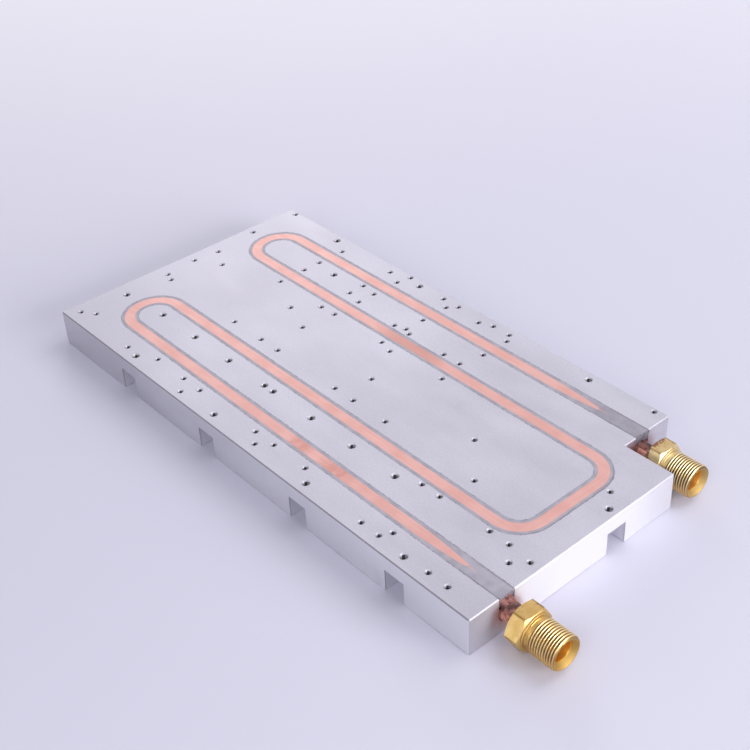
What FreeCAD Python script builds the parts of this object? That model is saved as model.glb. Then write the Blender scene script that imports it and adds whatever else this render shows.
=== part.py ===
import FreeCAD, Part
import Sketcher
import math
import os

# Liquid cooling plate for a battery or power electronics tray.
# One milled aluminium plate holds a serpentine copper tube. The tube is pressed
# level with the top and set in grey resin. At both ends it dives to mid height
# and leaves the plate into a brazed brass fitting with an outside thread.
#
# Frame: origin at the centre of the plate's underside, +X along the length
# towards the fittings, +Y towards the long side with the corner cut-out, +Z up.
# All lengths are in millimetres.

os.makedirs("parts", exist_ok=True)
doc = FreeCAD.newDocument("cooling_plate")
sheet = doc.addObject("Spreadsheet::Sheet", "sizes")

size_rows = [
    # base plate
    ("plate_length", 315.0),
    ("plate_width", 160.0),
    ("plate_height", 20.0),
    ("edge_break", 0.5),
    ("cutout_length", 28.0),
    ("cutout_width", 31.5),
    # pockets open at the sides, cut up from the underside
    ("slot_width", 12.0),
    ("slot_height", 12.0),
    ("slot_depth", 14.0),
    ("slot_round", 2.5),
    # tube and groove
    ("tube_radius", 4.3),
    ("tube_wall", 0.8),
    ("groove_radius", 4.5),
    ("flat_depth", 3.3),
    ("bend_radius", 14.0),
    ("near_run_inset", 21.5),
    ("far_run_inset", 19.5),
    ("near_turn_inset", 39.0),
    ("far_turn_inset", 32.5),
    ("cross_run_inset", 19.5),
    ("resin_setback", 1.2),
    # the tube's way down to the fitting
    ("exit_height", 10.5),
    ("taper_drop", 1.0),
    ("taper_run", 31.0),
    ("near_tip_inset", 20.5),
    ("far_tip_inset", 25.0),
    ("dive_end_inset", 4.5),
    ("taper_round", 60.0),
    ("dive_round", 26.0),
    # brass fitting
    ("hex_inset", 8.0),
    ("hex_flats", 19.0),
    ("hex_thickness", 8.0),
    ("collar_radius", 8.9),
    ("collar_thickness", 0.8),
    ("neck_radius", 7.2),
    ("neck_length", 2.0),
    ("thread_radius", 8.33),
    ("thread_length", 12.4),
    ("thread_lead", 0.8),
    ("port_radius", 5.0),
    ("mouth_radius", 7.0),
    ("mouth_depth", 2.6),
    # braze metal round the tube behind the fitting
    ("braze_radius", 6.4),
    ("braze_length", 2.6),
    # tapped holes
    ("small_hole_radius", 1.25),
    ("small_hole_depth", 7.0),
    ("large_hole_radius", 1.65),
    ("large_hole_depth", 10.0),
    ("hole_rim", 0.5),
    # hole groups with a regular spacing
    ("module_long", 60.0),
    ("module_short", 49.0),
    ("driver_long", 42.5),
    ("driver_short", 36.0),
    ("bridge_long", 47.0),
    ("bridge_short", 28.0),
    ("filter_long", 37.5),
    ("filter_short", 36.0),
    ("relay_long", 45.0),
    ("relay_short", 29.0),
    ("pair_pitch", 30.0),
    ("clamp_pitch", 30.0),
]


class Size:
    """A length together with the formula that keeps it tied to the sheet."""

    def __init__(self, value, text):
        self.value = value
        self.text = text

    def join(self, sign, other, value):
        return Size(value, "(" + self.text + " " + sign + " " + formula(other) + ")")

    def __add__(self, other):
        return self.join("+", other, self.value + number(other))

    def __sub__(self, other):
        return self.join("-", other, self.value - number(other))

    def __mul__(self, other):
        return self.join("*", other, self.value * number(other))

    def __truediv__(self, other):
        return self.join("/", other, self.value / number(other))

    def __neg__(self):
        return Size(-self.value, "(0 - " + self.text + ")")


def number(item):
    return item.value if isinstance(item, Size) else float(item)


def formula(item):
    return item.text if isinstance(item, Size) else repr(float(item))


size = {}
for row, (name, value) in enumerate(size_rows, start=1):
    sheet.set("A%d" % row, name)
    sheet.set("B%d" % row, repr(value))
    sheet.setAlias("B%d" % row, name)
    size[name] = Size(value, "sizes." + name)
doc.recompute()


# Small tools for sketches

def new_body(label):
    body = doc.addObject("PartDesign::Body", label)
    body.Label = label
    return body


def new_sketch(body, plane, name, offset=None):
    sketch = body.newObject("Sketcher::SketchObject", name)
    for feature in body.Origin.OriginFeatures:
        if feature.Role == plane:
            sketch.AttachmentSupport = [(feature, "")]
    sketch.MapMode = "FlatFace"
    if offset is not None:
        sketch.AttachmentOffset = FreeCAD.Placement(
            FreeCAD.Vector(0, 0, number(offset)), FreeCAD.Rotation()
        )
        sketch.setExpression("AttachmentOffset.Base.z", formula(offset))
    return sketch


class Drawing:
    """Lines, arcs and rules of one sketch, handed over together."""

    def __init__(self, sketch):
        self.sketch = sketch
        self.items = []
        self.marks = []
        self.rules = []
        self.formulas = {}

    def add(self, geometry):
        self.items.append(geometry)
        return len(self.items) - 1

    def rule(self, *words):
        self.rules.append(Sketcher.Constraint(*words))

    def tie(self, length, *words):
        self.formulas[len(self.rules)] = formula(length)
        self.rules.append(Sketcher.Constraint(*words, number(length)))

    def place(self, item, spot, x, y):
        """Tie a point to the sketch's origin."""
        for kind, axis, length in (("DistanceX", -2, x), ("DistanceY", -1, y)):
            if abs(number(length)) < 1e-9:
                self.rule("PointOnObject", item, spot, axis)
            else:
                self.tie(length, kind, -1, 1, item, spot)

    def circle(self, x, y, radius):
        middle = FreeCAD.Vector(number(x), number(y), 0)
        item = self.add(Part.Circle(middle, FreeCAD.Vector(0, 0, 1), number(radius)))
        self.place(item, 3, x, y)
        self.tie(radius, "Radius", item)

    def arc(self, x, y, radius, start, end):
        """Arc round (x, y) between two angles in degrees."""
        low, high = sorted((math.radians(start), math.radians(end)))
        middle = FreeCAD.Vector(number(x), number(y), 0)
        circle = Part.Circle(middle, FreeCAD.Vector(0, 0, 1), number(radius))
        item = self.add(Part.ArcOfCircle(circle, low, high))
        self.tie(radius, "Radius", item)
        return item

    def finish(self):
        self.sketch.addGeometry(self.items, False)
        for mark in self.marks:
            self.sketch.addGeometry(mark, True)
        self.sketch.addConstraint(self.rules)
        for index, text in self.formulas.items():
            self.sketch.setExpression("Constraints[%d]" % index, text)


def corner(x, y):
    return {"x": x, "y": y}


def bend(x, y, radius, start, end):
    return {"x": x, "y": y, "radius": radius, "start": start, "end": end}


def node_end(node, which):
    x, y = number(node["x"]), number(node["y"])
    if "radius" not in node:
        return FreeCAD.Vector(x, y, 0)
    angle = math.radians(node[which])
    radius = number(node["radius"])
    return FreeCAD.Vector(x + radius * math.cos(angle), y + radius * math.sin(angle), 0)


def chain(drawing, nodes, closed=True):
    """Draw lines from node to node, with tangent arcs at the bends."""
    arcs = {}
    for index, node in enumerate(nodes):
        if "radius" in node:
            x, y = node["x"], node["y"]
            arcs[index] = drawing.arc(x, y, node["radius"], node["start"], node["end"])
            drawing.place(arcs[index], 3, x, y)
    count = len(nodes)
    lines = {}
    for index in range(count if closed else count - 1):
        here, there = nodes[index], nodes[(index + 1) % count]
        first, last = node_end(here, "end"), node_end(there, "start")
        lines[index] = drawing.add(Part.LineSegment(first, last))
    for index, node in enumerate(nodes):
        after = lines.get(index)
        before = lines.get((index - 1) % count)
        if index in arcs:
            left_turn = node["end"] > node["start"]
            entry, leave = (1, 2) if left_turn else (2, 1)
            if before is not None:
                drawing.rule("Tangent", before, 2, arcs[index], entry)
            if after is not None:
                drawing.rule("Tangent", arcs[index], leave, after, 1)
            continue
        if before is not None and after is not None:
            drawing.rule("Coincident", before, 2, after, 1)
        if after is not None:
            drawing.place(after, 1, node["x"], node["y"])
        else:
            drawing.place(before, 2, node["x"], node["y"])


def draw(sketch, *outlines, closed=True):
    drawing = Drawing(sketch)
    for nodes in outlines:
        chain(drawing, nodes, closed)
    drawing.finish()
    return sketch


def draw_circles(sketch, places, radius):
    drawing = Drawing(sketch)
    for x, y in places:
        drawing.circle(x, y, radius)
    drawing.finish()
    return sketch


def edge_names(sketch):
    return ["Edge%d" % (index + 1) for index in range(len(sketch.Geometry))]


def add_pad(body, name, sketch, length, midplane=False, backwards=False, cut=False):
    kind = "PartDesign::Pocket" if cut else "PartDesign::Pad"
    feature = body.newObject(kind, name)
    feature.Profile = sketch
    feature.Length = number(length)
    feature.setExpression("Length", formula(length))
    feature.Midplane = midplane
    feature.Reversed = backwards
    sketch.Visibility = False
    return feature


def add_turn(body, name, sketch, cut=False):
    kind = "PartDesign::Groove" if cut else "PartDesign::Revolution"
    feature = body.newObject(kind, name)
    feature.Profile = sketch
    feature.ReferenceAxis = (sketch, ["H_Axis"])
    feature.Angle = 360
    sketch.Visibility = False
    return feature


def add_pipe(body, name, profile, spine, cut=False):
    kind = "PartDesign::SubtractivePipe" if cut else "PartDesign::AdditivePipe"
    feature = body.newObject(kind, name)
    feature.Profile = profile
    feature.Spine = (spine, spine_edges[spine.Name])
    feature.Mode = "Frenet"
    profile.Visibility = False
    spine.Visibility = False
    return feature


# Lines that the plate, the tube and the resin share

left_end = -(size["plate_length"] / 2)
right_end = size["plate_length"] / 2
near_side = -(size["plate_width"] / 2)
far_side = size["plate_width"] / 2
top = size["plate_height"]
cutout_end = right_end - size["cutout_length"]
cutout_side = far_side - size["cutout_width"]

bend_radius = size["bend_radius"]
first_run = near_side + size["near_run_inset"]
second_run = first_run + bend_radius * 2
fourth_run = far_side - size["far_run_inset"]
third_run = fourth_run - bend_radius * 2
near_turn = left_end + size["near_turn_inset"]
far_turn = left_end + size["far_turn_inset"]
cross_run = right_end - size["cross_run_inset"]
flat_axis = top - size["flat_depth"]
tip_axis = flat_axis - size["taper_drop"]
exit_axis = size["exit_height"]

# Each end of the tube: its run, the face it leaves through, the corners of its way down.
ends = {
    "near": {"run": first_run, "face": right_end, "tip": size["near_tip_inset"]},
    "far": {"run": fourth_run, "face": cutout_end, "tip": size["far_tip_inset"]},
}
for end in ends.values():
    end["tip"] = end["face"] - end["tip"]
    end["taper"] = end["tip"] - size["taper_run"]
    end["start"] = end["taper"] - 2
    end["level"] = end["face"] - size["dive_end_inset"]

spine_edges = {}


def flat_spine(body, name):
    """The serpentine between the two ramps, seen from above."""
    sketch = new_sketch(body, "XY_Plane", name, flat_axis)
    nodes = [
        corner(ends["near"]["start"], first_run),
        bend(near_turn, first_run + bend_radius, bend_radius, 270, 90),
        bend(cross_run - bend_radius, second_run + bend_radius, bend_radius, -90, 0),
        bend(cross_run - bend_radius, third_run - bend_radius, bend_radius, 0, 90),
        bend(far_turn, third_run + bend_radius, bend_radius, 270, 90),
        corner(ends["far"]["start"], fourth_run),
    ]
    draw(sketch, nodes, closed=False)
    spine_edges[sketch.Name] = edge_names(sketch)
    return sketch


def corner_round(before, at, after, radius):
    """Where an arc of the radius meets the two lines of a corner."""
    back = (before - at).normalize()
    ahead = (after - at).normalize()
    half = back.getAngle(ahead) / 2
    reach = radius / math.tan(half)
    middle = at + (back + ahead).normalize() * (radius / math.sin(half))
    return at + back * reach, at + ahead * reach, middle


def ramp_spine(body, name, end, overrun):
    """The way down from the flat run to the fitting, seen from the near side."""
    sketch = new_sketch(body, "XZ_Plane", name, -end["run"])
    finish = end["face"] + size["hex_inset"] + size["hex_thickness"] + overrun
    stops = [
        (end["start"], flat_axis),
        (end["taper"], flat_axis),
        (end["tip"], tip_axis),
        (end["level"], exit_axis),
        (finish, exit_axis),
    ]
    radii = [size["taper_round"], size["dive_round"], size["dive_round"]]
    points = [FreeCAD.Vector(number(x), number(y), 0) for x, y in stops]
    rounds = []
    for index, radius in enumerate(radii, start=1):
        rounds.append(
            corner_round(points[index - 1], points[index], points[index + 1], number(radius))
        )
    first_points = [points[0]] + [item[1] for item in rounds]
    last_points = [item[0] for item in rounds] + [points[-1]]
    drawing = Drawing(sketch)
    lines = []
    for first, last in zip(first_points, last_points):
        lines.append(drawing.add(Part.LineSegment(first, last)))
    for index, ((first, last, middle), radius) in enumerate(zip(rounds, radii)):
        begin = math.atan2(first.y - middle.y, first.x - middle.x)
        finish_angle = math.atan2(last.y - middle.y, last.x - middle.x)
        turn = math.remainder(finish_angle - begin, 2 * math.pi)
        entry, leave = (1, 2) if turn > 0 else (2, 1)
        begin, turn = math.degrees(begin), math.degrees(turn)
        item = drawing.arc(middle.x, middle.y, radius, begin, begin + turn)
        drawing.rule("Tangent", lines[index], 2, item, entry)
        drawing.rule("Tangent", item, leave, lines[index + 1], 1)
    for index in (1, 2, 3):
        drawing.marks.append(Part.Point(points[index]))
        mark = len(drawing.items) + index - 1
        drawing.place(mark, 1, *stops[index])
        drawing.rule("PointOnObject", mark, 1, lines[index - 1])
        drawing.rule("PointOnObject", mark, 1, lines[index])
    drawing.place(lines[0], 1, *stops[0])
    drawing.place(lines[-1], 2, *stops[-1])
    drawing.finish()
    spine_edges[sketch.Name] = ["Edge%d" % (index + 1) for index in range(7)]
    return sketch


def pipe_body(label, radius, ceiling, overrun):
    """Round rod along the whole way of the tube, cut off level at the ceiling."""
    body = new_body(label)
    spine = flat_spine(body, label + "_way")
    for side, end in ends.items():
        ring = new_sketch(body, "YZ_Plane", label + "_ring_" + side, end["start"])
        draw_circles(ring, [(end["run"], flat_axis)], radius)
        if side == "near":
            add_pipe(body, label + "_run", ring, spine)
        ramp = ramp_spine(body, label + "_ramp_way_" + side, end, overrun)
        add_pipe(body, label + "_ramp_" + side, ring, ramp)
    lid = new_sketch(body, "XY_Plane", label + "_lid", ceiling)
    draw(
        lid,
        [
            corner(left_end, near_side),
            corner(right_end, near_side),
            corner(right_end, far_side),
            corner(left_end, far_side),
        ],
    )
    add_pad(body, label + "_level", lid, size["tube_radius"] * 2, backwards=True, cut=True)
    doc.recompute()
    return body


def channel_section(body, name, x, run, axis, ceiling):
    """Section of the groove: round at the bottom, straight up to the ceiling."""
    radius = size["groove_radius"]
    sketch = new_sketch(body, "YZ_Plane", name, x)
    draw(
        sketch,
        [
            corner(run - radius, ceiling),
            bend(run, axis, radius, 180, 360),
            corner(run + radius, ceiling),
        ],
    )
    return sketch


def add_channels(body, label, ceiling, cut, end_gap):
    """The groove of the serpentine and the two deeper ones below the ramps."""
    spine = flat_spine(body, label + "_way")
    near = ends["near"]
    section = channel_section(
        body, label + "_section", near["start"], near["run"], flat_axis, ceiling
    )
    add_pipe(body, label + "_run", section, spine, cut=cut)
    for side, end in ends.items():
        deep = channel_section(
            body, label + "_deep_" + side, end["start"], end["run"], exit_axis, ceiling
        )
        reach = end["face"] - end["start"] + end_gap
        add_pad(body, label + "_exit_" + side, deep, reach, backwards=cut, cut=cut)
    doc.recompute()


# Base plate: outline, broken top edges, side pockets, groove and tapped holes

plate = new_body("base_plate")
plate_outline = new_sketch(plate, "XY_Plane", "plate_outline")
draw(
    plate_outline,
    [
        corner(left_end, near_side),
        corner(right_end, near_side),
        corner(right_end, cutout_side),
        corner(cutout_end, cutout_side),
        corner(cutout_end, far_side),
        corner(left_end, far_side),
    ],
)
plate_block = add_pad(plate, "plate_block", plate_outline, size["plate_height"])
doc.recompute()

rim_edges = []
for index, edge in enumerate(plate_block.Shape.Edges, start=1):
    level = edge.BoundBox.ZMin > size["plate_height"].value - 0.01
    upright = edge.BoundBox.ZLength > 1
    inner = upright and abs(edge.BoundBox.XMin - cutout_end.value) < 0.01
    inner = inner and abs(edge.BoundBox.YMin - cutout_side.value) < 0.01
    if level or (upright and not inner):
        rim_edges.append("Edge%d" % index)
plate_rim = plate.newObject("PartDesign::Chamfer", "plate_rim")
plate_rim.Base = (plate_block, rim_edges)
plate_rim.Size = size["edge_break"].value
plate_rim.setExpression("Size", size["edge_break"].text)
doc.recompute()

# Four pockets stand on the near long side, one at the fitting end. A large hole
# comes down into each.
slot_middles = [left_end + 64.5, left_end + 133.5, right_end - 110.5, right_end - 45.0]
end_slot_middle = size["plate_width"] / 16
half_slot = size["slot_width"] / 2
slot_round = size["slot_round"]
slots = new_sketch(plate, "XY_Plane", "slot_outlines")
inner_line = near_side + size["slot_depth"]
slot_outlines = []
for middle in slot_middles:
    slot_outlines.append(
        [
            corner(middle - half_slot, near_side - 1),
            corner(middle + half_slot, near_side - 1),
            bend(middle + half_slot - slot_round, inner_line - slot_round, slot_round, 0, 90),
            bend(middle - half_slot + slot_round, inner_line - slot_round, slot_round, 90, 180),
        ]
    )
inner_end = right_end - size["slot_depth"]
slot_outlines.append(
    [
        corner(right_end + 1, end_slot_middle - half_slot),
        corner(right_end + 1, end_slot_middle + half_slot),
        bend(inner_end + slot_round, end_slot_middle + half_slot - slot_round, slot_round, 90, 180),
        bend(inner_end + slot_round, end_slot_middle - half_slot + slot_round, slot_round, 180, 270),
    ]
)
draw(slots, *slot_outlines)
add_pad(plate, "slot_pockets", slots, size["slot_height"], backwards=True, cut=True)
doc.recompute()

add_channels(plate, "groove", top + 2, True, 2)

# Tapped holes. Groups for one bolted-on unit have a regular spacing; the others
# stand alone. Each place is measured from the plate's own edges.
small_places = []
large_places = []


def add_rectangle(places, x, y, long_step, short_step):
    for x_step in (0, 1):
        for y_step in (0, 1):
            places.append((x + long_step * x_step, y + short_step * y_step))


def add_row(places, x, y, count, x_pitch):
    for step in range(count):
        places.append((x + x_pitch * step, y))


for inset in (15.0, 98.5, 112.5, 196.0):
    add_rectangle(
        small_places, left_end + inset, near_side + 12.5, size["module_long"], size["module_short"]
    )
for inset in (73.5, 62.0):
    add_rectangle(
        small_places, right_end - inset, near_side + 7.0, size["driver_long"], size["driver_short"]
    )
for inset in (56.0, 39.0):
    add_rectangle(
        small_places, left_end + 60.5, far_side - inset, size["bridge_long"], size["bridge_short"]
    )
for inset in (138.0, 149.5):
    add_rectangle(
        small_places, left_end + inset, far_side - 40.5, size["filter_long"], size["filter_short"]
    )
add_rectangle(
    small_places, left_end + 145.0, far_side - 55.5, size["relay_long"], size["relay_short"]
)
add_row(small_places, left_end + 145.0, far_side - 9.5, 2, size["relay_long"])
for inset in (56.5, 36.5):
    for step in (0, 1):
        small_places.append((left_end + 97.0, far_side - inset + size["pair_pitch"] * step))

single_near = [(7.5, 7.5), (54.5, 7.5), (106.5, 5.0), (165.5, 6.5)]
single_middle = [(9.0, -16.5), (7.0, 3.0), (22.5, 11.5), (85.5, 11.5), (105.0, 4.0), (165.5, -0.5)]
single_middle += [(235.5, 2.0), (9.0, 18.5), (154.0, 22.0)]
single_far = [(5.5, 33.5), (7.0, 2.5), (109.5, 2.5), (145.0, 38.5), (167.5, 7.5)]
for x_inset, y_inset in single_near:
    small_places.append((left_end + x_inset, near_side + y_inset))
for x_inset, y in single_middle:
    small_places.append((left_end + x_inset, Size(y, repr(y))))
for x_inset, y_inset in single_far:
    small_places.append((left_end + x_inset, far_side - y_inset))
small_places.append((right_end - 12.0, near_side + 35.0))
small_places.append((right_end - 6.0, near_side + 41.5))
small_places.append((right_end - 12.0, end_slot_middle + 9.0))
small_places.append((right_end - 35.0, far_side - 2.5))

for inset in (42.0, 139.0):
    add_row(large_places, left_end + inset, near_side + 38.0, 4, size["clamp_pitch"])
large_places.append((left_end + 10.5, near_side + 35.0))
large_places.append((left_end + 76.5, far_side - 30.5))

through_places = [(middle, near_side + 6.0) for middle in slot_middles]
through_places.append((right_end - 5.0, end_slot_middle))
for inset in (49.0, 119.5, 241.5):
    through_places.append((left_end + inset, far_side - 5.0))


def add_holes(name, places, radius, depth):
    sketch = new_sketch(plate, "XY_Plane", name + "_places", top)
    draw_circles(sketch, places, radius)
    doc.recompute()
    hole = plate.newObject("PartDesign::Hole", name)
    hole.Profile = sketch
    hole.Threaded = False
    hole.Diameter = 2 * radius.value
    hole.setExpression("Diameter", (radius * 2).text)
    if depth is None:
        hole.DepthType = "ThroughAll"
    else:
        hole.DepthType = "Dimension"
        hole.Depth = depth.value
        hole.setExpression("Depth", depth.text)
    hole.DrillPoint = "Flat"
    hole.HoleCutType = "Countersink"
    rim = (radius + size["hole_rim"]) * 2
    hole.HoleCutDiameter = rim.value
    hole.setExpression("HoleCutDiameter", rim.text)
    hole.HoleCutCountersinkAngle = 90
    sketch.Visibility = False
    doc.recompute()


add_holes("small_holes", small_places, size["small_hole_radius"], size["small_hole_depth"])
add_holes("large_holes", large_places, size["large_hole_radius"], size["large_hole_depth"])
add_holes("through_holes", through_places, size["large_hole_radius"], None)

# Tube: a rod with a level top, less a smaller rod with a lower level top

rod = pipe_body("tube_outside", size["tube_radius"], top, 0)
hollow = pipe_body(
    "tube_inside", size["tube_radius"] - size["tube_wall"], top - size["tube_wall"], 1
)
tube = doc.addObject("Part::Cut", "coolant_tube")
tube.Base = rod
tube.Tool = hollow
tube.Label = "coolant_tube"

# Resin: fills the groove round the tube and stops short of the two faces

filling = new_body("groove_filling")
add_channels(filling, "filling", top, False, -size["resin_setback"])
resin = doc.addObject("Part::Cut", "groove_resin")
resin.Base = filling
resin.Tool = rod
resin.Label = "groove_resin"
doc.recompute()


# Fittings: modelled along their own X axis, with the back of the hexagon at zero

def fitting_body(label, end):
    body = new_body(label)
    hex_front = size["hex_thickness"]
    collar_front = hex_front + size["collar_thickness"]
    thread_back = collar_front + size["neck_length"]
    lead = size["thread_lead"]
    thread_front = thread_back + lead * 2 + size["thread_length"]
    turned = new_sketch(body, "XZ_Plane", label + "_turned")
    flat_radius = size["hex_flats"] / 2
    draw(
        turned,
        [
            corner(0, 0),
            corner(0, size["neck_radius"]),
            corner(hex_front, size["neck_radius"]),
            corner(hex_front, size["collar_radius"]),
            corner(collar_front, size["collar_radius"]),
            corner(collar_front, size["neck_radius"]),
            corner(thread_back, size["neck_radius"]),
            corner(thread_back + lead, size["thread_radius"]),
            corner(thread_back + lead + size["thread_length"], size["thread_radius"]),
            corner(thread_front, size["thread_radius"] - lead),
            corner(thread_front, 0),
        ],
    )
    add_turn(body, label + "_shank", turned)
    hexagon = new_sketch(body, "YZ_Plane", label + "_hexagon")
    tall = flat_radius
    wide = flat_radius * 1.1547005
    draw(
        hexagon,
        [
            corner(wide, 0),
            corner(wide / 2, tall),
            corner(-wide / 2, tall),
            corner(-wide, 0),
            corner(-wide / 2, -tall),
            corner(wide / 2, -tall),
        ],
    )
    add_pad(body, label + "_hex", hexagon, size["hex_thickness"])
    trims = new_sketch(body, "XZ_Plane", label + "_corner_trims")
    low = flat_radius * 0.98
    high = flat_radius * 1.2
    slope = (high - low) * 0.577
    draw(
        trims,
        [corner(-0.5, low), corner(slope, high), corner(-0.5, high)],
        [
            corner(hex_front + 0.5, low),
            corner(hex_front + 0.5, high),
            corner(hex_front - slope, high),
        ],
    )
    add_turn(body, label + "_trimmed", trims, cut=True)
    bore = new_sketch(body, "XZ_Plane", label + "_bore")
    mouth_back = thread_front - size["mouth_depth"]
    draw(
        bore,
        [
            corner(-1, 0),
            corner(-1, size["tube_radius"]),
            corner(hex_front, size["tube_radius"]),
            corner(hex_front, size["port_radius"]),
            corner(mouth_back, size["port_radius"]),
            corner(thread_front, size["mouth_radius"]),
            corner(thread_front + 1, size["mouth_radius"]),
            corner(thread_front + 1, 0),
        ],
    )
    add_turn(body, label + "_bored", bore, cut=True)
    seat(body, end)
    return body


def seat(body, end):
    """Put a turned piece on the tube's axis behind its end face."""
    seat_x = end["face"] + size["hex_inset"]
    body.Placement = FreeCAD.Placement(
        FreeCAD.Vector(seat_x.value, end["run"].value, exit_axis.value), FreeCAD.Rotation()
    )
    body.setExpression("Placement.Base.x", seat_x.text)
    body.setExpression("Placement.Base.y", end["run"].text)
    body.setExpression("Placement.Base.z", exit_axis.text)
    doc.recompute()


def braze_body(label, end):
    body = new_body(label)
    ring = new_sketch(body, "XZ_Plane", label + "_section")
    length = size["braze_length"]
    inside = size["tube_radius"]
    outside = size["braze_radius"]
    step = (outside - inside) / 4
    draw(
        ring,
        [
            corner(-length, inside),
            corner(0, inside),
            corner(0, outside),
            corner(-length / 4, outside - step),
            corner(-length * 0.65, inside + step),
            corner(-length, inside + 0.15),
        ],
    )
    add_turn(body, label + "_ring", ring)
    seat(body, end)
    return body


inlet_fitting = fitting_body("inlet_fitting", ends["near"])
outlet_fitting = fitting_body("outlet_fitting", ends["far"])
inlet_braze = braze_body("inlet_braze", ends["near"])
outlet_braze = braze_body("outlet_braze", ends["far"])
doc.recompute()

for item in doc.Objects:
    for word in ("Invalid", "Error"):
        if word in item.State:
            raise RuntimeError("%s is not built: %s" % (item.Label, item.State))

pieces = [plate, tube, resin, inlet_fitting, outlet_fitting, inlet_braze, outlet_braze]
for piece in pieces:
    shape = piece.Shape
    if shape.isNull() or not shape.isValid():
        raise RuntimeError("%s has no sound shape" % piece.Label)
    shape.exportStep("parts/" + piece.Label + ".step")
    print(piece.Label, len(shape.Solids), round(shape.Volume, 1), shape.BoundBox)
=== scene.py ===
import math
import random

import bmesh
import bpy
from mathutils import Matrix, Vector


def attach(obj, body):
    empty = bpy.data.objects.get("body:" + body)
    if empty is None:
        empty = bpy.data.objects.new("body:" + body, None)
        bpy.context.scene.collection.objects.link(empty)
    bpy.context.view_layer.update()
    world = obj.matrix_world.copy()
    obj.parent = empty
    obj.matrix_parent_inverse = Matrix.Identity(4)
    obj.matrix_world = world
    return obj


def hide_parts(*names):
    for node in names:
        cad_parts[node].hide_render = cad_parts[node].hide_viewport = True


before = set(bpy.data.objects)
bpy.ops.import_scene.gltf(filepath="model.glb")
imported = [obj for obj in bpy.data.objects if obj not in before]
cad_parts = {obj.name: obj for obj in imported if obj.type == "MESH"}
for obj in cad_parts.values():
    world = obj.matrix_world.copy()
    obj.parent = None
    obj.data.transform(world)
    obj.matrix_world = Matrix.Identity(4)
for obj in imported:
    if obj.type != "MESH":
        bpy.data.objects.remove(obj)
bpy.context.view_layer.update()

MM = 0.001

# Plate, groove and tube, as in the solids. Origin: centre of the underside.
PLATE_LENGTH = 315 * MM
PLATE_WIDTH = 160 * MM
PLATE_HEIGHT = 20 * MM
LEFT_END = -PLATE_LENGTH / 2
RIGHT_END = PLATE_LENGTH / 2
NEAR_SIDE = -PLATE_WIDTH / 2
FAR_SIDE = PLATE_WIDTH / 2
CUTOUT_END = RIGHT_END - 28 * MM
CUTOUT_SIDE = FAR_SIDE - 31.5 * MM
EDGE_BREAK = 0.5 * MM
HOLE_RIM = 0.5 * MM
POCKET_DEPTH = 14 * MM
POCKET_HEIGHT = 12 * MM

TUBE_RADIUS = 4.3 * MM
GROOVE_RADIUS = 4.5 * MM
BEND_RADIUS = 14 * MM
EXIT_HEIGHT = 10.5 * MM
RESIN_SETBACK = 1.2 * MM
RUN_1 = NEAR_SIDE + 21.5 * MM
RUN_2 = RUN_1 + 2 * BEND_RADIUS
RUN_4 = FAR_SIDE - 19.5 * MM
RUN_3 = RUN_4 - 2 * BEND_RADIUS
NEAR_TURN = LEFT_END + 39 * MM
FAR_TURN = LEFT_END + 32.5 * MM
CROSS_RUN = RIGHT_END - 19.5 * MM
PAST_RUN_3 = (40 * MM, 46 * MM)  # between the third and the fourth run

# Fitting sizes, measured from the back of the hexagon
HEX_INSET = 8 * MM
HEX_FLATS = 19 * MM
HEX_THICKNESS = 8 * MM
HEX_CORNER = HEX_FLATS / 2 / math.cos(math.pi / 6)
HEX_SEAT_RADIUS = HEX_FLATS / 2 * 0.98
HEX_TRIM_SLOPE = math.tan(math.radians(30))
COLLAR_RADIUS = 8.9 * MM
COLLAR_FRONT = HEX_THICKNESS + 0.8 * MM
NECK_RADIUS = 7.2 * MM
NECK_FRONT = COLLAR_FRONT + 2 * MM
NECK_FILLET = 0.3 * MM
THREAD_RADIUS = 8.33 * MM
THREAD_DEPTH = 0.8 * MM
THREAD_PITCH = 1.337 * MM
THREAD_LEAD = 0.8 * MM
FLANK_SLOPE = 1.25
FLANK_START = 0.12
FITTING_LENGTH = NECK_FRONT + 2 * THREAD_LEAD + 12.4 * MM
PORT_RADIUS = 5.0 * MM
MOUTH_RADIUS = 7.0 * MM
MOUTH_DEPTH = 2.6 * MM

INLET_SEAT = Vector((RIGHT_END + HEX_INSET, RUN_1, EXIT_HEIGHT))
OUTLET_SEAT = Vector((CUTOUT_END + HEX_INSET, RUN_4, EXIT_HEIGHT))

# Fineness of the meshes
ROUND_STEPS = 144
THREAD_STEPS = 150
LINER_STEPS = 15
LINER_SIDES = 12
MERGE_GAP = 0.001 * MM
SOFT_EDGE = 0.12 * MM
FULL_TURN = 2 * math.pi

# Attribute of the threads in the holes: the direction from the hole's axis to its wall
WALL_SIDE = "wall side"


# Node arithmetic

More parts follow.
